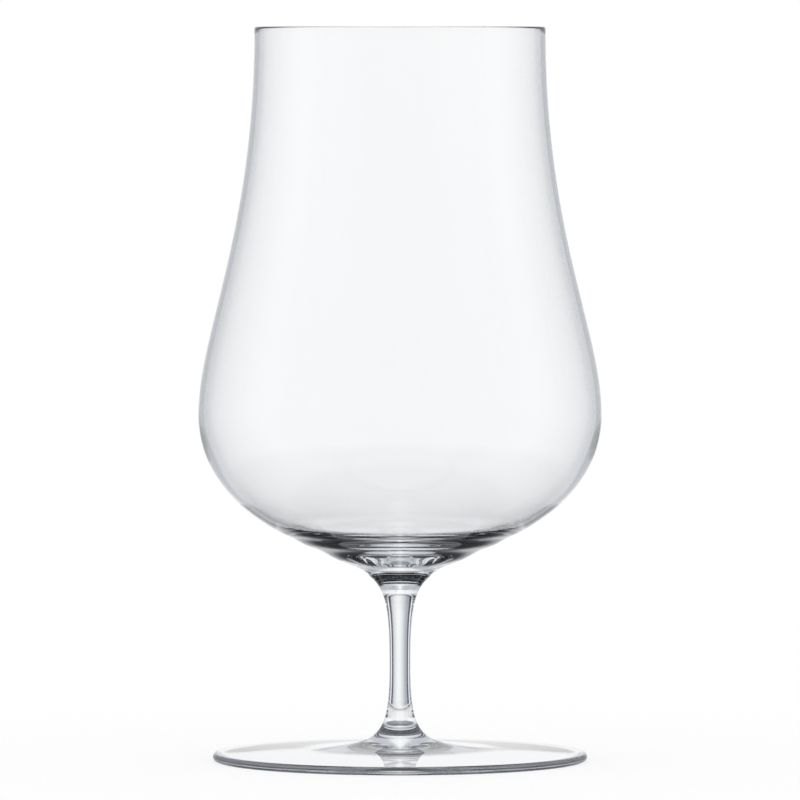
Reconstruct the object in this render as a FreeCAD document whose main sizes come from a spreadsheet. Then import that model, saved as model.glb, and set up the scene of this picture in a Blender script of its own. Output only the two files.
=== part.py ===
import FreeCAD, Part
from enum import IntEnum, auto
import math
import os
import Sketcher

# Stemmed beer glass: a tulip bowl on a short drawn stem and a round foot, all one
# piece of clear glass. Millimetres, +Z up, origin at the centre of the ring that
# the foot stands on. The glass is a body of revolution about Z.
#
# The outline runs through six stations, from the rim down: rim, belly, shoulder and
# funnel (the slanting underside of the bowl), waist (the thinnest place of the stem)
# and flare (where the stem has spread into the top of the foot). Between two stations
# the outline is one smooth cubic curve, and a "pull" says how far the curve keeps
# the direction that it has at a station before it bends towards the next one.
#
# The inside has stations of its own at rim, belly, shoulder and funnel. Each lies a
# wall's thickness square inwards from the outer one, so the wall stays whole when the
# outline changes, and a "lean" says how much flatter the inside runs there.

NODE = "beer_glass"

# name, value in millimetres (angles in degrees), meaning
SIZES = [
    ("total_height", 175.0, "height from the table to the rim"),
    ("rim_radius", 34.65, "outer radius at the rim"),
    ("rim_pull", 49.5, "pull of the upright rim, downwards"),
    ("rim_wall", 1.1, "wall at the rim"),
    ("lip_round", 0.4, "rounding of both edges of the fire-polished lip"),
    ("belly_radius", 48.05, "outer radius at the belly, the widest place"),
    ("belly_height", 82.75, "height of the belly above the table"),
    ("belly_wall", 1.12, "wall at the belly"),
    ("belly_pull_up", 19.7, "pull of the belly, upwards"),
    ("belly_pull_down", 9.9, "pull of the belly, downwards"),
    ("shoulder_out", 10.8, "how far the shoulder lies outside the funnel station"),
    ("shoulder_rise", 7.2, "how far the shoulder lies above the funnel station"),
    ("shoulder_angle", 42.1, "slope of the shoulder above level"),
    ("shoulder_pull_up", 7.0, "pull of the shoulder, up to the belly"),
    ("shoulder_pull_down", 5.7, "pull of the shoulder, down to the funnel"),
    ("funnel_radius", 27.2, "outer radius at the funnel station"),
    ("funnel_height", 54.0, "height of the funnel station"),
    ("funnel_angle", 26.7, "slope of the funnel above level"),
    ("funnel_pull_out", 2.4, "pull of the funnel, out to the shoulder"),
    ("funnel_pull_in", 25.4, "pull of the funnel, in to the stem"),
    ("inner_belly_pull", 8.5, "pull of the inner belly, downwards"),
    ("inner_shoulder_wall", 1.25, "wall at the shoulder"),
    ("inner_shoulder_lean", 1.0, "how much flatter the inside runs at the shoulder"),
    ("inner_shoulder_pull_up", 6.0, "pull of the inner shoulder, upwards"),
    ("inner_shoulder_pull_down", 5.0, "pull of the inner shoulder, downwards"),
    ("inner_funnel_wall", 1.7, "wall at the funnel station"),
    ("inner_funnel_lean", 10.0, "how much flatter the inside runs at the funnel station"),
    ("inner_funnel_pull_out", 2.4, "pull of the inner funnel, outwards"),
    ("inner_funnel_pull_in", 10.0, "pull of the inner funnel, inwards"),
    ("floor_drop", 3.5, "how far the inner floor lies below the funnel station"),
    ("floor_pull", 6.0, "pull of the level inner floor, outwards"),
    ("waist_radius", 2.5, "radius of the stem at its waist"),
    ("waist_height", 22.2, "height of the waist above the table"),
    ("waist_pull_up", 25.2, "pull of the waist, upwards"),
    ("waist_pull_down", 15.9, "pull of the waist, downwards"),
    ("flare_radius", 18.5, "radius where the stem has spread into the foot"),
    ("flare_height", 3.3, "height of the foot's top at the flare radius"),
    ("flare_pull", 13.7, "pull of the foot's top, in to the stem"),
    ("foot_radius", 44.7, "outer radius of the foot"),
    ("foot_edge", 2.0, "thickness of the foot's rounded edge"),
    ("hollow_radius", 42.5, "inner radius of the ring that the foot stands on"),
    ("hollow_height", 2.0, "height of the shallow hollow under the foot"),
]
VALUE = {name: value for name, value, _ in SIZES}


class Spot(IntEnum):
    """The places on an edge that a constraint can hold."""

    START = auto()
    END = auto()
    CENTRE = auto()


class Fixed(IntEnum):
    """The sketch's own axes: the level one starts at the origin, the upright one is the glass's axis."""

    LEVEL = -1
    UPRIGHT = -2


ORIGIN = (Fixed.LEVEL, Spot.START)


def fill_sheet(doc):
    """Puts every driving size into the sheet, one row each, under its own name."""
    sheet = doc.addObject("Spreadsheet::Sheet", "Sizes")
    for row, (name, value, meaning) in enumerate(SIZES, start=1):
        sheet.set(f"A{row}", name)
        sheet.set(f"B{row}", str(value))
        sheet.set(f"C{row}", meaning)
        sheet.setAlias(f"B{row}", name)
    doc.recompute()
    return sheet


def plane_of(body, role):
    """Finds one of the body's own origin planes."""
    return next(item for item in body.Origin.OriginFeatures if item.Role == role)


class Amount:
    """A measure of the glass: its value now, and the formula of the sheet's cells that gives it."""

    def __init__(self, value, formula):
        self.value = value
        self.formula = formula

    def __add__(self, other):
        return Amount(self.value + other.value, f"({self.formula} + {other.formula})")

    def __sub__(self, other):
        return Amount(self.value - other.value, f"({self.formula} - {other.formula})")

    def __mul__(self, other):
        return Amount(self.value * other.value, f"({self.formula} * {other.formula})")

    def half(self):
        return Amount(self.value / 2, f"({self.formula} / 2)")


def size(name):
    """One size of the sheet."""
    return Amount(VALUE[name], f"Sizes.{name}")


def sine(angle):
    """The sine of an angle in degrees."""
    return Amount(math.sin(math.radians(angle.value)), f"sin({angle.formula} * 1 deg)")


def cosine(angle):
    """The cosine of an angle in degrees."""
    return Amount(math.cos(math.radians(angle.value)), f"cos({angle.formula} * 1 deg)")


class Station:
    """A place on the section by its radius and height, with the slope of the outline there."""

    def __init__(self, radius, height, slope=None):
        self.radius = radius
        self.height = height
        self.slope = slope

    def spot(self):
        """The place as a plain pair."""
        return self.radius.value, self.height.value

    def along(self, distance):
        """A place at a distance along the slope; a negative distance goes inwards."""
        turn = math.radians(self.slope.value)
        return self.radius.value + distance * math.cos(turn), self.height.value + distance * math.sin(turn)

    def inwards(self, wall, lean):
        """The station of the inside: a wall square inwards from this one, with a flatter slope."""
        radius = self.radius - wall * sine(self.slope)
        height = self.height + wall * cosine(self.slope)
        return Station(radius, height, self.slope - lean)


class Profile:
    """A sketch of half a section: its level direction is the radius, its upright one the height."""

    def __init__(self, body, name):
        self.sketch = body.newObject("Sketcher::SketchObject", name)
        self.sketch.AttachmentSupport = [(plane_of(body, "XZ_Plane"), "")]
        self.sketch.MapMode = "FlatFace"

    def tie(self, kind, *where):
        """Adds a constraint that has no size, such as Coincident or Tangent."""
        return self.sketch.addConstraint(Sketcher.Constraint(kind, *where))

    def chain(self, *edges):
        """Joins the end of each edge to the start of the next one."""
        for first, last in zip(edges, edges[1:]):
            self.tie("Coincident", first, Spot.END, last, Spot.START)

    def measure(self, kind, *where, amount, turn=False):
        """Adds a constraint whose size is a formula of the sheet's cells, an angle if it is a turn."""
        start = math.radians(amount.value) if turn else amount.value
        formula = f"{amount.formula} * 1 deg" if turn else amount.formula
        index = self.sketch.addConstraint(Sketcher.Constraint(kind, *where, start))
        self.sketch.setExpression(f"Constraints[{index}]", formula)

    def place(self, point, station):
        """Fixes a point at a station."""
        self.measure("DistanceX", *ORIGIN, *point, amount=station.radius)
        self.measure("DistanceY", *ORIGIN, *point, amount=station.height)

    def line(self, first, last):
        """Adds a straight edge between two places."""
        return self.sketch.addGeometry(Part.LineSegment(vector(first), vector(last)))

    def arc(self, middle, radius, first, last):
        """Adds a round edge that runs from one angle to another, in radians."""
        circle = Part.Circle(vector(middle), FreeCAD.Vector(0, 0, 1), radius)
        return self.sketch.addGeometry(Part.ArcOfCircle(circle, first, last))

    def curve(self, *handles):
        """Adds a smooth cubic edge, and gives its index and its four handles."""
        poles = [vector(handle) for handle in handles]
        edge = self.sketch.addGeometry(Part.BSplineCurve(poles, None, None, False, 3, None, False))
        self.sketch.exposeInternalGeometry(edge)
        return edge, [(edge + 1 + number, Spot.CENTRE) for number in range(len(poles))]

    def slant(self, inner, point, outer, slope, pull_in, pull_out):
        """Lays two handles on one slanting line through the station between them."""
        places = [self.sketch.getPoint(*handle) for handle in (inner, outer)]
        ray = self.line(*[(place.x, place.y) for place in places])
        self.sketch.setConstruction(ray, True)
        self.tie("Coincident", ray, Spot.START, *inner)
        self.tie("Coincident", ray, Spot.END, *outer)
        self.tie("PointOnObject", *point, ray)
        self.measure("Angle", ray, amount=slope, turn=True)
        self.measure("Distance", *point, *inner, amount=pull_in)
        self.measure("Distance", *point, *outer, amount=pull_out)

    def upright(self, first, last, pull):
        """Keeps a handle straight above or below its station, at its pull."""
        self.tie("Vertical", *first, *last)
        self.measure("Distance", *first, *last, amount=pull)


def vector(place):
    """The sketch's own vector for a radius and a height."""
    return FreeCAD.Vector(place[0], place[1], 0)


def outer_stations():
    """The stations of the outline, by name."""
    funnel = Station(size("funnel_radius"), size("funnel_height"), size("funnel_angle"))
    shoulder_radius = funnel.radius + size("shoulder_out")
    shoulder_height = funnel.height + size("shoulder_rise")
    return {
        "rim": Station(size("rim_radius"), size("total_height")),
        "belly": Station(size("belly_radius"), size("belly_height")),
        "shoulder": Station(shoulder_radius, shoulder_height, size("shoulder_angle")),
        "funnel": funnel,
        "waist": Station(size("waist_radius"), size("waist_height")),
        "flare": Station(size("flare_radius"), size("flare_height")),
    }


def inner_stations():
    """The stations of the inside, each a wall's thickness inwards from the outer one."""
    outer = outer_stations()
    rim, belly = outer["rim"], outer["belly"]
    return {
        "rim": Station(rim.radius - size("rim_wall"), rim.height),
        "belly": Station(belly.radius - size("belly_wall"), belly.height),
        "shoulder": outer["shoulder"].inwards(size("inner_shoulder_wall"), size("inner_shoulder_lean")),
        "funnel": outer["funnel"].inwards(size("inner_funnel_wall"), size("inner_funnel_lean")),
    }


class BowlLine:
    """The four stations of a bowl, outer or inner, with the curves from the rim down to the funnel."""

    def __init__(self, profile, stations, pulls):
        rim, belly, shoulder, funnel = (stations[name] for name in ("rim", "belly", "shoulder", "funnel"))
        self.profile = profile
        self.stations = stations
        self.pulls = {name: size(cell) for name, cell in pulls.items()}
        pull = {name: amount.value for name, amount in self.pulls.items()}
        top, middle = rim.spot(), belly.spot()
        self.upper, self.upper_handles = profile.curve(
            top, (top[0], top[1] - pull["rim"]), (middle[0], middle[1] + pull["belly_up"]), middle)
        self.lower, self.lower_handles = profile.curve(
            middle, (middle[0], middle[1] - pull["belly_down"]), shoulder.along(pull["shoulder_up"]), shoulder.spot())
        self.under, self.under_handles = profile.curve(
            shoulder.spot(), shoulder.along(-pull["shoulder_down"]), funnel.along(pull["funnel_out"]), funnel.spot())
        self.edges = (self.upper, self.lower, self.under)

    def hold(self, end, end_handle):
        """Ties the curves to their stations; the handle beyond the funnel belongs to the next edge."""
        profile, pulls = self.profile, self.pulls
        shoulder, funnel = self.stations["shoulder"], self.stations["funnel"]
        for edge, name in zip((*self.edges, end), ("rim", "belly", "shoulder", "funnel")):
            profile.place((edge, Spot.START), self.stations[name])
        profile.upright((self.upper, Spot.START), self.upper_handles[1], pulls["rim"])
        profile.upright((self.upper, Spot.END), self.upper_handles[2], pulls["belly_up"])
        profile.upright((self.lower, Spot.START), self.lower_handles[1], pulls["belly_down"])
        profile.slant(self.under_handles[1], (self.under, Spot.START), self.lower_handles[2],
                      shoulder.slope, pulls["shoulder_down"], pulls["shoulder_up"])
        profile.slant(end_handle, (end, Spot.START), self.under_handles[2],
                      funnel.slope, pulls["funnel_in"], pulls["funnel_out"])


OUTER_PULLS = {
    "rim": "rim_pull",
    "belly_up": "belly_pull_up",
    "belly_down": "belly_pull_down",
    "shoulder_up": "shoulder_pull_up",
    "shoulder_down": "shoulder_pull_down",
    "funnel_out": "funnel_pull_out",
    "funnel_in": "funnel_pull_in",
}
INNER_PULLS = {
    "rim": "rim_pull",
    "belly_up": "belly_pull_up",
    "belly_down": "inner_belly_pull",
    "shoulder_up": "inner_shoulder_pull_up",
    "shoulder_down": "inner_shoulder_pull_down",
    "funnel_out": "inner_funnel_pull_out",
    "funnel_in": "inner_funnel_pull_in",
}


def draw_outside(body):
    """The whole outline: bowl, stem and foot, closed along the axis and the table."""
    profile = Profile(body, "OutsideSection")
    stations = outer_stations()
    funnel, waist, flare = (stations[name] for name in ("funnel", "waist", "flare"))
    bowl = BowlLine(profile, stations, OUTER_PULLS)
    stem, root = waist.spot(), flare.spot()
    edge_radius = size("foot_edge").half()
    edge_reach = size("foot_radius") - edge_radius
    middle = (edge_reach.value, edge_radius.value)
    top = (0, stations["rim"].height.value)

    neck, neck_handles = profile.curve(
        funnel.spot(), funnel.along(-VALUE["funnel_pull_in"]), (stem[0], stem[1] + VALUE["waist_pull_up"]), stem)
    spread, spread_handles = profile.curve(
        stem, (stem[0], stem[1] - VALUE["waist_pull_down"]), (root[0] - VALUE["flare_pull"], root[1]), root)
    slope = profile.line(root, (middle[0], middle[1] + edge_radius.value))
    edge = profile.arc(middle, edge_radius.value, -math.pi / 2, math.pi / 2)
    table = profile.line((middle[0], 0), (0, 0))
    axis = profile.line((0, 0), top)
    mouth = profile.line(top, stations["rim"].spot())

    profile.chain(mouth, *bowl.edges, neck, spread, slope)
    profile.chain(table, axis, mouth)
    profile.tie("Coincident", *ORIGIN, table, Spot.END)
    profile.tie("Vertical", axis)
    profile.tie("Horizontal", mouth)
    profile.tie("Horizontal", table)
    profile.tie("Tangent", slope, Spot.END, edge, Spot.END)
    profile.tie("Tangent", edge, Spot.START, table, Spot.START)
    profile.measure("DistanceX", *ORIGIN, edge, Spot.CENTRE, amount=edge_reach)
    profile.measure("Radius", edge, amount=edge_radius)

    bowl.hold(neck, neck_handles[1])
    profile.place((spread, Spot.START), waist)
    profile.place((slope, Spot.START), flare)
    profile.upright((neck, Spot.END), neck_handles[2], size("waist_pull_up"))
    profile.upright((spread, Spot.START), spread_handles[1], size("waist_pull_down"))
    profile.tie("PointOnObject", *spread_handles[2], slope)
    profile.measure("DistanceX", *spread_handles[2], slope, Spot.START, amount=size("flare_pull"))
    return profile.sketch


def draw_inside(body):
    """The hollow of the bowl, from the rim to the floor above the stem."""
    profile = Profile(body, "InsideSection")
    stations = inner_stations()
    funnel = stations["funnel"]
    bowl = BowlLine(profile, stations, INNER_PULLS)
    floor = size("funnel_height") - size("floor_drop")
    top = (0, stations["rim"].height.value)

    dish, dish_handles = profile.curve(
        funnel.spot(), funnel.along(-VALUE["inner_funnel_pull_in"]), (VALUE["floor_pull"], floor.value),
        (0, floor.value))
    axis = profile.line((0, floor.value), top)
    mouth = profile.line(top, stations["rim"].spot())

    profile.chain(mouth, *bowl.edges, dish, axis, mouth)
    profile.tie("PointOnObject", axis, Spot.START, Fixed.UPRIGHT)
    profile.tie("Vertical", axis)
    profile.tie("Horizontal", mouth)
    profile.measure("DistanceY", *ORIGIN, axis, Spot.START, amount=floor)
    bowl.hold(dish, dish_handles[1])
    profile.tie("Horizontal", *dish_handles[2], dish, Spot.END)
    profile.measure("DistanceX", dish, Spot.END, *dish_handles[2], amount=size("floor_pull"))
    return profile.sketch


def draw_hollow(body):
    """The shallow dome under the foot, a cap of a large sphere inside the standing ring."""
    profile = Profile(body, "HollowSection")
    reach, rise = size("hollow_radius"), size("hollow_height")
    radius = (reach.value ** 2 + rise.value ** 2) / (2 * rise.value)
    half_turn = math.asin(reach.value / radius)
    dome = profile.arc((0, rise.value - radius), radius, math.pi / 2 - half_turn, math.pi / 2)
    axis = profile.line((0, rise.value), (0, 0))
    table = profile.line((0, 0), (reach.value, 0))
    profile.chain(dome, axis, table, dome)
    profile.tie("Coincident", *ORIGIN, table, Spot.START)
    profile.tie("Vertical", axis)
    profile.tie("Horizontal", table)
    profile.tie("PointOnObject", dome, Spot.CENTRE, Fixed.UPRIGHT)
    profile.measure("DistanceX", *ORIGIN, dome, Spot.START, amount=reach)
    profile.measure("DistanceY", *ORIGIN, axis, Spot.START, amount=rise)
    return profile.sketch


def turn(body, kind, name, sketch):
    """Turns a section once round the upright axis, adding (Revolution) or cutting (Groove)."""
    feature = body.newObject(f"PartDesign::{kind}", name)
    feature.Profile = sketch
    feature.ReferenceAxis = (sketch, ["V_Axis"])
    feature.Angle = 360
    sketch.Visibility = False
    body.Document.recompute()
    return feature


def edges_at(shape, height):
    """Names the shape's edges that lie level at a height."""
    near = 0.001
    names = []
    for number, edge in enumerate(shape.Edges, start=1):
        box = edge.BoundBox
        if abs(box.ZMin - height) < near and abs(box.ZMax - height) < near:
            names.append(f"Edge{number}")
    return names


def build_glass(doc):
    """The glass: outline, then the hollow of the bowl, the lip and the hollow of the foot."""
    body = doc.addObject("PartDesign::Body", "Glass")
    body.Label = NODE
    body.Placement = FreeCAD.Placement()
    turn(body, "Revolution", "Outside", draw_outside(body))
    inside = turn(body, "Groove", "Inside", draw_inside(body))
    lip = body.newObject("PartDesign::Fillet", "Lip")
    lip.Base = (inside, edges_at(inside.Shape, VALUE["total_height"]))
    lip.setExpression("Radius", "Sizes.lip_round")
    doc.recompute()
    turn(body, "Groove", "FootHollow", draw_hollow(body))
    return body


def check(doc, parts):
    """Stops before anything is written if a feature failed or a part is not one sound solid."""
    for item in doc.Objects:
        if "Invalid" in item.State or "Error" in item.State:
            raise RuntimeError(f"{item.Name} did not build: {item.State}")
    for part in parts:
        shape = part.Shape
        if shape.isNull() or not shape.isValid() or len(shape.Solids) != 1:
            raise RuntimeError(f"{part.Label} is not one sound solid")


def main():
    doc = FreeCAD.newDocument("BeerGlass")
    fill_sheet(doc)
    glass = build_glass(doc)
    doc.recompute()
    check(doc, [glass])
    os.makedirs("parts", exist_ok=True)
    glass.Shape.exportStep(f"parts/{glass.Label}.step")
    box = glass.Shape.BoundBox
    print(f"{glass.Label}: {glass.Shape.Volume / 1000:.1f} ml of glass, "
          f"{box.XLength:.2f} x {box.YLength:.2f} x {box.ZLength:.2f} mm")


main()
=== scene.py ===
"""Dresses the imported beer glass.

The glass is one surface, worked out from its outline, and it stands in a white studio.
"""

import logging
import math
from dataclasses import dataclass, field
from enum import Enum

import bpy
import numpy as np
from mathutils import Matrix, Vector


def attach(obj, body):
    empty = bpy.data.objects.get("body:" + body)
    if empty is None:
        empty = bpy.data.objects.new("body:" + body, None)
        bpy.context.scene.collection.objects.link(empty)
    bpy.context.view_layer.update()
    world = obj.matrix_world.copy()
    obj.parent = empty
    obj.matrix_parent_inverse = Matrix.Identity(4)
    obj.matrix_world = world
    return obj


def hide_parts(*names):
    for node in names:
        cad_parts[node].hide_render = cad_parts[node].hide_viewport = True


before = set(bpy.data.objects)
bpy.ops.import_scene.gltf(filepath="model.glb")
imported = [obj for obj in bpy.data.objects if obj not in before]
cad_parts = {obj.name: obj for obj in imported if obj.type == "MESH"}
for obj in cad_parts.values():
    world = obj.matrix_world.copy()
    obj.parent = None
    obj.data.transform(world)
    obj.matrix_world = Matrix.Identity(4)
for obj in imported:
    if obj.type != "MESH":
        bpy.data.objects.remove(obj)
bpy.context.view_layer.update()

NODE = "beer_glass"
MM = 0.001
WHITE = (1.0, 1.0, 1.0, 1.0)
DARK = (0.02, 0.02, 0.022, 1.0)

# How often light may pass or turn inside the glass before it is given up.
PASSES = 32

# Points on each run of the outline. All but the lip's are spread anew for the mesh.
RUN_POINTS = 400
EDGE_POINTS = 60
TOP_POINTS = 200
REST_POINTS = 20
DOME_POINTS = 300
LIP_POINTS = 13

# How a dim colour leans towards blue: what green loses and blue gains for what red loses.
GREEN_SHARE = 0.5
BLUE_SHARE = 0.6

# What feeds a node's socket: the output of another node, or a plain value.
Feed = bpy.types.NodeSocket | float | tuple

log = logging.getLogger("beer_glass")


def cubic(start: tuple, leave: tuple, arrive: tuple, end: tuple, count: int = RUN_POINTS) -> np.ndarray:
    """Works out a smooth cubic run of the outline.

    A point is the sum of the four places, each times its share: (1 - t) cubed, three times
    (1 - t) squared times t, three times (1 - t) times t squared, and t cubed, for t from 0 to 1.

    Args:
        start: radius and height where the run begins.
        leave: the handle that the run leaves its start towards.
        arrive: the handle that the run reaches its end from.
        end: radius and height where the run ends.
        count: how many points to give.

    Returns:
        An array of radius and height, one row a point.
    """
    t = np.linspace(0.0, 1.0, count)[:, None]
    shares = ((1 - t) ** 3, 3 * (1 - t) ** 2 * t, 3 * (1 - t) * t ** 2, t ** 3)
    places = (start, leave, arrive, end)
    return sum(share * np.array(place, float) for share, place in zip(shares, places))


def arc(centre: tuple, radius: float, first: float, last: float, count: int = EDGE_POINTS) -> np.ndarray:
    """Works out a round run: the centre plus the radius times the cosine and sine of the angle.

    Args:
        centre: radius and height of the arc's centre.
        radius: the arc's radius.
        first: angle where it begins, in degrees.
        last: angle where it ends, in degrees.
        count: how many points to give.

    Returns:
        An array of radius and height, one row a point.
    """
    angle = np.radians(np.linspace(first, last, count))
    return np.column_stack([centre[0] + radius * np.cos(angle), centre[1] + radius * np.sin(angle)])


def spread(points: np.ndarray, spacing: np.ndarray | float) -> np.ndarray:
    """Takes points along a polyline so that neighbours lie a wanted spacing apart.

    The spacing may change along the line: the running count of points is the sum of each
    short length over its spacing, and the new points are read at whole, even steps of it.

    Args:
        points: the fine polyline.
        spacing: the wanted spacing, one value or one for each point.

    Returns:
        The new points, with the line's two ends kept.
    """
    lengths = np.hypot(*np.diff(points, axis=0).T)
    wanted = np.broadcast_to(spacing, (len(points),))
    running = np.concatenate([[0.0], np.cumsum(lengths / ((wanted[1:] + wanted[:-1]) / 2))])
    steps = np.linspace(0.0, running[-1], max(2, int(round(running[-1])) + 1))
    return np.column_stack([np.interp(steps, running, points[:, axis]) for axis in (0, 1)])


@dataclass(frozen=True)
class Station:
    """A place on the section, with the slope of the outline there, in degrees above level."""

    radius: float
    height: float
    slope: float = 90.0

    @property
    def spot(self) -> tuple:
        """The place as a plain pair."""
        return self.radius, self.height

    def along(self, distance: float) -> tuple:
        """Gives the place at a distance up the slope; a negative distance goes down it."""
        turn = math.radians(self.slope)
        return self.radius + distance * math.cos(turn), self.height + distance * math.sin(turn)

    def inwards(self, wall: float, lean: float = 0.0) -> "Station":
        """Gives the station of the inside: a wall square inwards from this one, with a flatter slope.

        Args:
            wall: thickness of the wall here.
            lean: how many degrees flatter the inside runs.

        Returns:
            The inner station.
        """
        turn = math.radians(self.slope)
        radius = self.radius - wall * math.sin(turn)
        height = self.height + wall * math.cos(turn)
        return Station(radius, height, self.slope - lean)


@dataclass
class Outline:
    """The half section of the glass, in millimetres, as the solid has it."""

    total_height: float = 175.0
    rim_radius: float = 34.65
    rim_pull: float = 49.5
    rim_wall: float = 1.1
    belly_radius: float = 48.05
    belly_height: float = 82.75
    belly_wall: float = 1.12
    belly_pull_up: float = 19.7
    belly_pull_down: float = 9.9
    shoulder_out: float = 10.8
    shoulder_rise: float = 7.2
    shoulder_angle: float = 42.1
    shoulder_pull_up: float = 7.0
    shoulder_pull_down: float = 5.7
    funnel_radius: float = 27.2
    funnel_height: float = 54.0
    funnel_angle: float = 26.7
    funnel_pull_out: float = 2.4
    funnel_pull_in: float = 25.4
    inner_belly_pull: float = 8.5
    inner_shoulder_wall: float = 1.25
    inner_shoulder_lean: float = 1.0
    inner_shoulder_pull_up: float = 6.0
    inner_shoulder_pull_down: float = 5.0
    inner_funnel_wall: float = 1.7
    inner_funnel_lean: float = 10.0
    inner_funnel_pull_out: float = 2.4
    inner_funnel_pull_in: float = 10.0
    floor_drop: float = 3.5
    floor_pull: float = 6.0
    waist_radius: float = 2.5
    waist_height: float = 22.2
    waist_pull_up: float = 25.2
    waist_pull_down: float = 15.9
    flare_radius: float = 18.5
    flare_height: float = 3.3
    flare_pull: float = 13.7
    foot_radius: float = 44.7
    foot_edge: float = 2.0
    hollow_radius: float = 42.5
    hollow_height: float = 2.0

    @property
    def rim(self) -> Station:
        """The outer line where the lip begins."""
        return Station(self.rim_radius, self.total_height - self.rim_wall / 2)

    @property
    def belly(self) -> Station:
        """The widest place."""
        return Station(self.belly_radius, self.belly_height)

    @property
    def shoulder(self) -> Station:
        """The slanting place between belly and funnel."""
        return Station(self.funnel_radius + self.shoulder_out, self.funnel_height + self.shoulder_rise,
                       self.shoulder_angle)

    @property
    def funnel(self) -> Station:
        """The slanting underside of the bowl."""
        return Station(self.funnel_radius, self.funnel_height, self.funnel_angle)

    def outside(self) -> np.ndarray:
        """Works out the outer line from the rim down to the table.

        Returns:
            Radius and height in millimetres, finely spaced.
        """
        rim, belly, shoulder, funnel = self.rim, self.belly, self.shoulder, self.funnel
        waist = (self.waist_radius, self.waist_height)
        flare = (self.flare_radius, self.flare_height)
        half_edge = self.foot_edge / 2
        middle = (self.foot_radius - half_edge, half_edge)
        reach, drop = middle[0] - flare[0], flare[1] - middle[1]
        lean = math.asin(half_edge / math.hypot(reach, drop)) - math.atan2(drop, reach)
        edge_top = (middle[0] - half_edge * math.sin(lean), middle[1] + half_edge * math.cos(lean))
        rise = math.tan(-lean)
        edge_angle = 90 + math.degrees(lean)
        return np.vstack([
            cubic(rim.spot, (rim.radius, self.total_height - self.rim_pull),
                  belly.along(self.belly_pull_up), belly.spot),
            cubic(belly.spot, belly.along(-self.belly_pull_down),
                  shoulder.along(self.shoulder_pull_up), shoulder.spot)[1:],
            cubic(shoulder.spot, shoulder.along(-self.shoulder_pull_down),
                  funnel.along(self.funnel_pull_out), funnel.spot)[1:],
            cubic(funnel.spot, funnel.along(-self.funnel_pull_in),
                  (waist[0], waist[1] + self.waist_pull_up), waist)[1:],
            cubic(waist, (waist[0], waist[1] - self.waist_pull_down),
                  (flare[0] - self.flare_pull, flare[1] + rise * self.flare_pull), flare)[1:],
            np.linspace(flare, edge_top, TOP_POINTS)[1:],
            arc(middle, half_edge, edge_angle, -90)[1:],
            np.linspace((middle[0], 0), (self.hollow_radius, 0), REST_POINTS)[1:],
        ])

    def hollow(self) -> np.ndarray:
        """Works out the shallow dome under the foot, a cap of a large circle, from ring to middle."""
        radius = (self.hollow_radius ** 2 + self.hollow_height ** 2) / (2 * self.hollow_height)
        reach = math.degrees(math.asin(self.hollow_radius / radius))
        return arc((0, self.hollow_height - radius), radius, 90 - reach, 90, DOME_POINTS)

    def inside(self) -> np.ndarray:
        """Works out the inner line from the floor of the bowl up to the rim.

        Returns:
            Radius and height in millimetres, finely spaced.
        """
        rim = self.rim.inwards(self.rim_wall)
        belly = self.belly.inwards(self.belly_wall)
        shoulder = self.shoulder.inwards(self.inner_shoulder_wall, self.inner_shoulder_lean)
        funnel = self.funnel.inwards(self.inner_funnel_wall, self.inner_funnel_lean)
        floor = self.funnel_height - self.floor_drop
        return np.vstack([
            cubic((0, floor), (self.floor_pull, floor),
                  funnel.along(-self.inner_funnel_pull_in), funnel.spot),
            cubic(funnel.spot, funnel.along(self.inner_funnel_pull_out),
                  shoulder.along(-self.inner_shoulder_pull_down), shoulder.spot)[1:],
            cubic(shoulder.spot, shoulder.along(self.inner_shoulder_pull_up),
                  belly.along(-self.inner_belly_pull), belly.spot)[1:],
            cubic(belly.spot, belly.along(self.belly_pull_up),
                  (rim.radius, self.total_height - self.rim_pull), rim.spot)[1:],
        ])

    def lip(self) -> np.ndarray:
        """Works out the fire-polished lip, half a circle from the inner line over to the outer."""
        middle = (self.rim_radius - self.rim_wall / 2, self.total_height - self.rim_wall / 2)
        return arc(middle, self.rim_wall / 2, 180, 0, LIP_POINTS)


@dataclass
class Rings:
    """Shallow rings that forming leaves in the lower bowl, wider apart towards the stem."""

    area: float = 150.0
    lean: float = 0.05
    near: float = 4.0
    far: float = 28.0
    fade: float = 4.0
    low: float = 44.0

    def push(self, line: np.ndarray) -> np.ndarray:
        """Moves outline points in and out, square to the outline, by the wave of the rings.

        The wave's phase is pi times the radius squared over the area, so its pitch is the area
        over the radius. Its height is the pitch times the lean over two pi, so all rings are
        equally steep, times a window that rises and falls smoothly at the two radii.

        Args:
            line: radius and height of the outline's points.

        Returns:
            The moved points.
        """
        along = np.gradient(line, axis=0)
        square = np.column_stack([-along[:, 1], along[:, 0]]) / np.hypot(*along.T)[:, None]
        radius, level = line[:, 0], line[:, 1]
        pitch = self.area / np.maximum(radius, self.near)
        rise = np.clip((radius - self.near) / self.fade, 0, 1)
        fall = np.clip((self.far - radius) / self.fade, 0, 1)
        window = rise ** 2 * (3 - 2 * rise) * fall ** 2 * (3 - 2 * fall) * (level > self.low)
        height = self.lean * pitch / (2 * np.pi) * window * np.sin(np.pi * radius ** 2 / self.area)
        return line + square * height[:, None]


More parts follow.
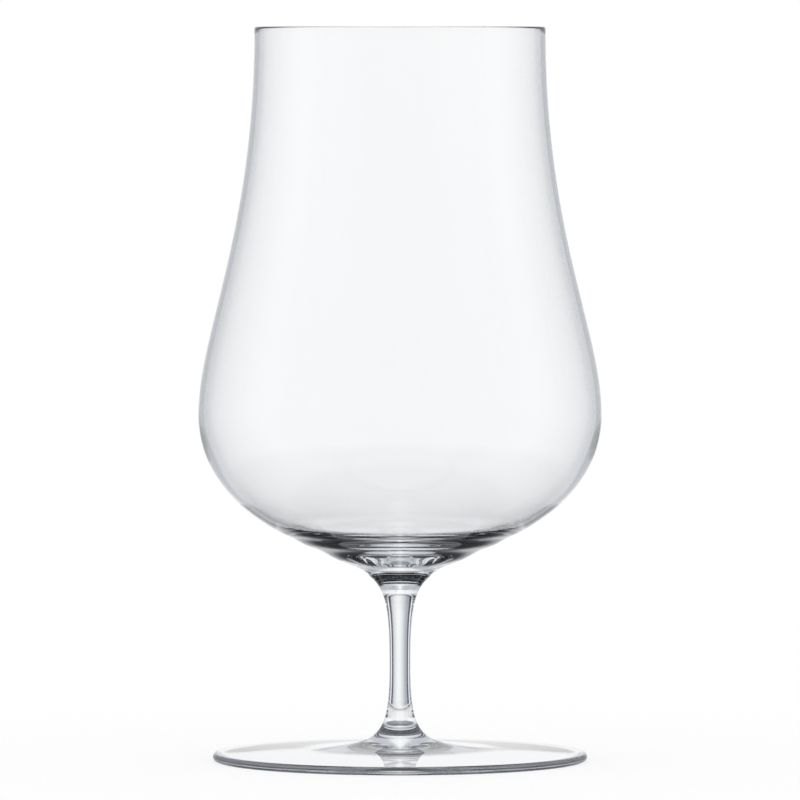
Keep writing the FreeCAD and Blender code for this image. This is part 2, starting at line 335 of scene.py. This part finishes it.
@dataclass
class GlassBody:
    """The whole glass as one closed surface of revolution."""

    outline: Outline = field(default_factory=Outline)
    outer_rings: Rings = field(default_factory=lambda: Rings(lean=0.12, near=6.0, far=30.0))
    inner_rings: Rings = field(default_factory=Rings)
    around: int = 160
    dome_spacing: float = 2.0
    outer_spacing: tuple = ((2.1, 0.22), (6.0, 0.9), (40.0, 1.0), (62.0, 0.3), (75.0, 0.6))
    inner_spacing: tuple = ((62.0, 0.3), (75.0, 0.6))
    wide_spacing: float = 1.6

    def spacing(self, level: np.ndarray, table: tuple) -> np.ndarray:
        """Gives the wanted spacing of points at each height.

        Args:
            level: the heights.
            table: pairs of a height and the spacing wanted below it, from the lowest up.

        Returns:
            One spacing for each height, the wide one above the last pair.
        """
        below = [level < top for top, _ in table]
        return np.select(below, [wanted for _, wanted in table], self.wide_spacing)

    def section(self) -> np.ndarray:
        """Joins the runs to one line from the middle of the foot to the floor of the bowl.

        Returns:
            Radius and height in millimetres, first and last point on the axis.
        """
        shape = self.outline
        under = spread(shape.hollow()[::-1], self.dome_spacing)
        outer = shape.outside()[::-1]
        outer = self.outer_rings.push(spread(outer, self.spacing(outer[:, 1], self.outer_spacing)))
        inner = shape.inside()
        inner = self.inner_rings.push(spread(inner, self.spacing(inner[:, 1], self.inner_spacing)))[::-1]
        return np.vstack([under, outer[1:], shape.lip()[::-1][1:-1], inner])

    def build(self, material: bpy.types.Material) -> bpy.types.Object:
        """Turns the section round the upright axis and makes the piece.

        A point at radius r, height z and angle a lies at r times cosine a, r times sine a and z.

        Args:
            material: the finish of the piece.

        Returns:
            The finished piece, at the origin, with its place in its mesh.
        """
        line = self.section() * MM
        ring = line[1:-1]
        angle = np.linspace(0, 2 * np.pi, self.around, endpoint=False)
        grid = np.stack([
            ring[:, 0, None] * np.cos(angle),
            ring[:, 0, None] * np.sin(angle),
            np.broadcast_to(ring[:, 1, None], (len(ring), self.around)),
        ], axis=-1)
        points = np.vstack([[0, 0, line[0, 1]], grid.reshape(-1, 3), [0, 0, line[-1, 1]]])
        rows, turn = np.meshgrid(np.arange(len(ring) - 1), np.arange(self.around), indexing="ij")
        step = (turn + 1) % self.around
        first = 1 + rows * self.around
        quads = np.stack([first + turn, first + step, first + self.around + step,
                          first + self.around + turn], axis=-1).reshape(-1, 4)
        spin = np.arange(self.around)
        after = (spin + 1) % self.around
        last = len(points) - 1
        final = 1 + (len(ring) - 1) * self.around
        base = np.column_stack([np.zeros_like(spin), 1 + after, 1 + spin])
        floor = np.column_stack([np.full_like(spin, last), final + spin, final + after])
        mesh = bpy.data.meshes.new(f"{NODE}_mesh")
        corners = np.concatenate([base.ravel(), quads.ravel(), floor.ravel()])
        counts = np.concatenate([np.full(len(base), 3), np.full(len(quads), 4), np.full(len(floor), 3)])
        mesh.vertices.add(len(points))
        mesh.vertices.foreach_set("co", points.ravel())
        mesh.loops.add(len(corners))
        mesh.loops.foreach_set("vertex_index", corners)
        mesh.polygons.add(len(counts))
        mesh.polygons.foreach_set("loop_start", np.concatenate([[0], np.cumsum(counts)[:-1]]))
        mesh.polygons.foreach_set("use_smooth", np.ones(len(counts), bool))
        mesh.update(calc_edges=True)
        mesh.validate()
        mesh.materials.append(material)
        piece = bpy.data.objects.new("glass_body", mesh)
        bpy.context.scene.collection.objects.link(piece)
        return piece


@dataclass
class Wiring:
    """A small hand for wiring nodes: each call makes one node and gives back what comes out of it."""

    tree: bpy.types.NodeTree

    def add(self, kind: str) -> bpy.types.Node:
        """Makes a node of a kind."""
        return self.tree.nodes.new(f"ShaderNode{kind}")

    def give(self, socket: bpy.types.NodeSocket, value: Feed) -> None:
        """Feeds a socket.

        Args:
            socket: what is fed.
            value: an output, which is wired, or a plain value, which is written.
        """
        if isinstance(value, bpy.types.NodeSocket):
            self.tree.links.new(value, socket)
        else:
            socket.default_value = value

    def calc(self, kind: str, *values: Feed) -> bpy.types.NodeSocket:
        """Makes a sum.

        Args:
            kind: which sum.
            values: what goes into it, in order.

        Returns:
            Its result.
        """
        node = self.add("Math")
        node.operation = kind
        for socket, value in zip(node.inputs, values):
            self.give(socket, value)
        return node.outputs[0]

    def blend(self, kind: str, share: Feed, first: Feed, second: Feed) -> bpy.types.NodeSocket:
        """Blends two colours.

        Args:
            kind: the way of blending.
            share: how much of the second colour comes in, from 0 to 1.
            first: the colour at a share of 0.
            second: the colour that is blended in.

        Returns:
            The blended colour.
        """
        node = self.add("Mix")
        node.data_type = "RGBA"
        node.blend_type = kind
        node.clamp_factor = True
        self.give(node.inputs[0], share)
        self.give(node.inputs[6], first)
        self.give(node.inputs[7], second)
        return node.outputs[2]

    def band(self, band: "Band", angle: Feed) -> bpy.types.NodeSocket:
        """Looks up a band's colour.

        Args:
            band: the band of light.
            angle: where to look, in degrees.

        Returns:
            The colour there.
        """
        node = self.add("MapRange")
        self.give(node.inputs["Value"], angle)
        node.inputs["From Min"].default_value = band.low
        node.inputs["From Max"].default_value = band.high
        ramp = self.add("ValToRGB")
        self.give(ramp.inputs[0], node.outputs[0])
        marks = ramp.color_ramp.elements
        stops = band.colours()
        marks[0].position, marks[0].color = stops[0]
        marks[1].position, marks[1].color = stops[-1]
        for place, colour in stops[1:-1]:
            marks.new(place).color = colour
        return ramp.outputs[0]


@dataclass(frozen=True)
class ClearGlass:
    """Clear soda-lime glass: polished, with a faint cool tint and the waves of drawn glass."""

    index: float = 1.52
    clear: tuple = (1.0, 1.0, 1.0, 1.0)
    cool: tuple = (0.985, 0.993, 1.0, 1.0)
    tint_scale: float = 38.0
    tint_detail: float = 2.0
    wave_scale: float = 55.0
    wave_detail: float = 1.0
    wave_height: float = 0.00002
    drawn: float = 0.35

    def waves(self) -> bpy.types.NodeTree:
        """Builds the shared effect: slow waves on the surface, longer along the glass than round it.

        Returns:
            A group that takes object coordinates and gives the wave's height and the tint's share.
        """
        group = bpy.data.node_groups.new("drawn_glass", "ShaderNodeTree")
        group.interface.new_socket("Place", in_out="INPUT", socket_type="NodeSocketVector")
        group.interface.new_socket("Wave", in_out="OUTPUT", socket_type="NodeSocketFloat")
        group.interface.new_socket("Tint", in_out="OUTPUT", socket_type="NodeSocketFloat")
        hand = Wiring(group)
        way_in = group.nodes.new("NodeGroupInput")
        way_out = group.nodes.new("NodeGroupOutput")
        stretch = hand.add("Mapping")
        stretch.inputs["Scale"].default_value = (1.0, 1.0, self.drawn)
        hand.give(stretch.inputs["Vector"], way_in.outputs["Place"])
        noises = (("Wave", self.wave_scale, self.wave_detail), ("Tint", self.tint_scale, self.tint_detail))
        for name, scale, detail in noises:
            noise = hand.add("TexNoise")
            noise.inputs["Scale"].default_value = scale
            noise.inputs["Detail"].default_value = detail
            hand.give(noise.inputs["Vector"], stretch.outputs[0])
            hand.give(way_out.inputs[name], noise.outputs[0])
        return group

    def material(self) -> bpy.types.Material:
        """Builds the material.

        Returns:
            A material with one Principled shader.
        """
        made = bpy.data.materials.new("clear_glass")
        made.use_nodes = True
        hand = Wiring(made.node_tree)
        shader = made.node_tree.nodes["Principled BSDF"]
        place = hand.add("TexCoord")
        effect = hand.add("Group")
        effect.node_tree = self.waves()
        hand.give(effect.inputs["Place"], place.outputs["Object"])
        bump = hand.add("Bump")
        bump.inputs["Distance"].default_value = self.wave_height
        hand.give(bump.inputs["Height"], effect.outputs["Wave"])
        hand.give(shader.inputs["Normal"], bump.outputs[0])
        tint = hand.blend("MIX", effect.outputs["Tint"], self.clear, self.cool)
        hand.give(shader.inputs["Base Color"], tint)
        shader.inputs["Roughness"].default_value = 0.0
        shader.inputs["IOR"].default_value = self.index
        shader.inputs["Transmission Weight"].default_value = 1.0
        return made


class Path(Enum):
    """The ways in which light can come through the glass, told apart by its passes and turns."""

    THIN = "passes straight through two walls of the bowl"
    SOLID = "passes straight through the stem or the foot"
    SHEEN = "is mirrored by the outside"
    TURNED = "is mirrored once on its way through the glass"
    GUIDED = "is turned inside the glass more than once"
    LED = "is led along inside the foot from edge to edge"


@dataclass(frozen=True)
class Band:
    """A band of light in the surroundings: brightness by angle, joined by straight slopes."""

    low: float
    high: float
    stops: tuple
    cool: float = 0.0

    def colours(self) -> list:
        """Gives the place from 0 to 1 and the colour of each stop, bluish where it is dim."""
        span = self.high - self.low
        made = []
        for angle, level in self.stops:
            shift = self.cool * level * max(0.0, 1.0 - level)
            colour = (level - shift, level - shift * GREEN_SHARE, level + shift * BLUE_SHARE, 1.0)
            made.append(((angle - self.low) / span, colour))
        return made


# Brightness round the glass, in degrees from straight behind it, and by height, in degrees above level.
BACKDROP = Band(0, 45, ((0, 0.90), (1, 0.94), (2, 0.99), (3, 1.0), (45, 1.0)))
BACKDROP_LEVELS = Band(-90, 90, ((-90, 0.9), (-30, 0.92), (-12, 0.96), (-3, 0.985), (0, 1.0), (90, 1.0)))
BACK_WINDOW = Band(-45, 45, (
    (-45, 0.95), (-41, 0.85), (-38, 0.05), (-31, 0.05), (-28, 0.40), (-20, 0.45), (-10, 0.72), (0, 0.92),
    (8, 0.95), (20, 0.75), (28, 0.54), (31, 0.05), (38, 0.05), (41, 0.85), (45, 0.95)), 0.2)
SOLID_LEVELS = Band(-90, 90, ((-90, 0.9), (-20, 0.95), (22, 1.0), (34, 0.05), (90, 0.02)))
GUIDED_AROUND = Band(0, 45, ((0, 1.0), (20, 0.8), (29, 0.6), (33, 0.03), (40, 0.03), (45, 0.9)), 0.2)
GUIDED_LEVELS = Band(-90, 90, ((-90, 0.9), (90, 0.9)), 0.2)
LED_LEVELS = Band(-90, 90, (
    (-90, 0.03), (-32, 0.08), (-20, 0.42), (20, 0.42), (32, 0.08), (90, 0.03)), 0.17)
TURNED_LEVELS = Band(-90, 90, ((-90, 0.33), (-54, 0.33), (-47, 1.0), (90, 1.0)), 0.2)
SHEEN_LEVELS = Band(-90, 90, ((-90, 0.1), (-40, 0.1), (-30, 0.25), (-22, 1.0), (90, 1.0)))
SIDE_LIGHTS = Band(0, 180, (
    (0, 0.97), (6, 0.95), (14, 0.62), (20, 0.57), (40, 0.54), (55, 0.6), (70, 0.69), (85, 0.79),
    (100, 0.89), (115, 0.96), (130, 1.03), (150, 1.1), (180, 1.19)), 0.12)


@dataclass(frozen=True)
class PaleFloor:
    """The floor's finish: it glows white, and a small part of it is lit, so the glass shades it softly."""

    light: float = 1.01
    shade: float = 0.25

    def material(self) -> bpy.types.Material:
        """Builds the material, which is open from below, so that the foot's underside can be seen.

        Returns:
            A material for the upper side of the floor.
        """
        made = bpy.data.materials.new("pale_floor")
        made.use_nodes = True
        made.node_tree.nodes.clear()
        hand = Wiring(made.node_tree)
        out = hand.add("OutputMaterial")
        glow = hand.add("Emission")
        glow.inputs["Strength"].default_value = self.light - self.shade
        lit = hand.add("BsdfDiffuse")
        lit.inputs["Color"].default_value = (self.shade, self.shade, self.shade, 1.0)
        both = hand.add("AddShader")
        hand.give(both.inputs[0], glow.outputs[0])
        hand.give(both.inputs[1], lit.outputs[0])
        open_below = hand.add("MixShader")
        hand.give(open_below.inputs[0], hand.add("NewGeometry").outputs["Backfacing"])
        hand.give(open_below.inputs[1], both.outputs[0])
        hand.give(open_below.inputs[2], hand.add("BsdfTransparent").outputs[0])
        hand.give(out.inputs[0], open_below.outputs[0])
        return made


@dataclass
class Studio:
    """White surroundings: a pale floor, and light that comes from all round the glass.

    The limits tell whole numbers of passes and turns apart, so each lies halfway between two.
    """

    floor_size: float = 6.0
    finish: PaleFloor = field(default_factory=PaleFloor)
    fold: float = 45.0
    entered: float = 0.5
    thin_passes: float = 2.5
    one_turn: float = 0.5
    more_turns: float = 1.5
    many_turns: float = 4.5
    led_turns: float = 11.5

    def looks(self, hand: Wiring) -> dict:
        """Works out the brightness of the surroundings for each way that light comes through the glass.

        Args:
            hand: what wires the world's nodes.

        Returns:
            A colour for each Path.
        """
        place = hand.add("TexCoord")
        split = hand.add("SeparateXYZ")
        hand.give(split.inputs[0], place.outputs["Generated"])
        turn = hand.calc("DEGREES", hand.calc("ARCTAN2", split.outputs["X"], split.outputs["Y"]))
        folded = hand.calc("WRAP", turn, self.fold, -self.fold)
        aside = hand.calc("ABSOLUTE", folded)
        rise = hand.calc("DEGREES", hand.calc("ARCSINE", split.outputs["Z"]))
        sides = hand.band(SIDE_LIGHTS, hand.calc("ABSOLUTE", turn))
        pairs = {
            Path.THIN: (hand.band(BACKDROP, aside), BACKDROP_LEVELS),
            Path.SOLID: (hand.band(BACK_WINDOW, folded), SOLID_LEVELS),
            Path.SHEEN: (sides, SHEEN_LEVELS),
            Path.TURNED: (sides, TURNED_LEVELS),
            Path.GUIDED: (hand.band(GUIDED_AROUND, aside), GUIDED_LEVELS),
        }
        made = {}
        for path, (around, levels) in pairs.items():
            made[path] = hand.blend("MULTIPLY", 1.0, around, hand.band(levels, rise))
        made[Path.LED] = hand.band(LED_LEVELS, rise)
        return made

    def world(self) -> None:
        """Builds the surroundings, and picks the look by how often light passed and turned."""
        made = bpy.data.worlds.new("studio")
        bpy.context.scene.world = made
        made.use_nodes = True
        made.node_tree.nodes.clear()
        hand = Wiring(made.node_tree)
        out = hand.add("OutputWorld")
        sky = hand.add("Background")
        hand.give(out.inputs[0], sky.outputs[0])
        looks = self.looks(hand)
        path = hand.add("LightPath")
        passes = path.outputs["Transmission Depth"]
        turns = path.outputs["Glossy Depth"]
        thin = hand.calc("GREATER_THAN", passes, self.thin_passes)
        straight = hand.blend("MIX", thin, looks[Path.SOLID], looks[Path.THIN])
        entered = hand.calc("GREATER_THAN", passes, self.entered)
        mirrored = hand.blend("MIX", entered, looks[Path.SHEEN], looks[Path.TURNED])
        guided = hand.calc("GREATER_THAN", turns, self.more_turns)
        bent = hand.blend("MIX", guided, mirrored, looks[Path.GUIDED])
        led = hand.calc("MULTIPLY", hand.calc("GREATER_THAN", turns, self.led_turns),
                        hand.calc("LESS_THAN", passes, self.thin_passes))
        lost = hand.blend("MIX", led, DARK, looks[Path.LED])
        bent = hand.blend("MIX", hand.calc("GREATER_THAN", turns, self.many_turns), bent, lost)
        look = hand.blend("MIX", hand.calc("GREATER_THAN", turns, self.one_turn), straight, bent)
        plain = hand.calc("MAXIMUM", path.outputs["Is Camera Ray"], path.outputs["Is Diffuse Ray"])
        hand.give(sky.inputs["Color"], hand.blend("MIX", plain, look, WHITE))

    def floor(self) -> None:
        """Lays the floor, which isn't mirrored or seen in the glass."""
        half = self.floor_size / 2
        corners = [(-half, -half, 0), (half, -half, 0), (half, half, 0), (-half, half, 0)]
        mesh = bpy.data.meshes.new("floor_mesh")
        mesh.from_pydata(corners, [], [(0, 1, 2, 3)])
        mesh.materials.append(self.finish.material())
        piece = bpy.data.objects.new("floor", mesh)
        bpy.context.scene.collection.objects.link(piece)
        piece.visible_glossy = False
        piece.visible_transmission = False


@dataclass
class Viewpoint:
    """The photograph's view: level with the mouth of the glass, from about two metres away."""

    distance: float = 2.17
    height: float = 0.174
    aim: float = 0.0861
    width: float = 0.1906
    sensor: float = 36.0
    sees_to: float = 50.0

    def camera(self) -> None:
        """Makes the scene's camera, aimed at the middle of the glass."""
        data = bpy.data.cameras.new("camera")
        data.sensor_width = self.sensor
        reach = math.hypot(self.distance, self.height - self.aim)
        data.lens = data.sensor_width * reach / self.width
        data.clip_end = self.sees_to
        seen = bpy.data.objects.new("camera", data)
        bpy.context.scene.collection.objects.link(seen)
        seen.location = (0, -self.distance, self.height)
        look = Vector((0, 0, self.aim)) - seen.location
        seen.rotation_euler = look.to_track_quat("-Z", "Y").to_euler()
        bpy.context.scene.camera = seen


def main() -> None:
    """Builds the glass and its studio, in order."""
    logging.basicConfig(level=logging.INFO, format="%(message)s")
    bpy.context.scene.view_settings.view_transform = "Standard"
    cycles = bpy.context.scene.cycles
    cycles.max_bounces = PASSES
    cycles.transmission_bounces = PASSES
    cycles.glossy_bounces = PASSES
    body = GlassBody()
    piece = body.build(ClearGlass().material())
    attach(piece, "root")
    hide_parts(NODE)
    log.info("glass: %d points, %d faces", len(piece.data.vertices), len(piece.data.polygons))
    studio = Studio()
    studio.world()
    studio.floor()
    Viewpoint().camera()


if __name__ == "__main__":
    main()
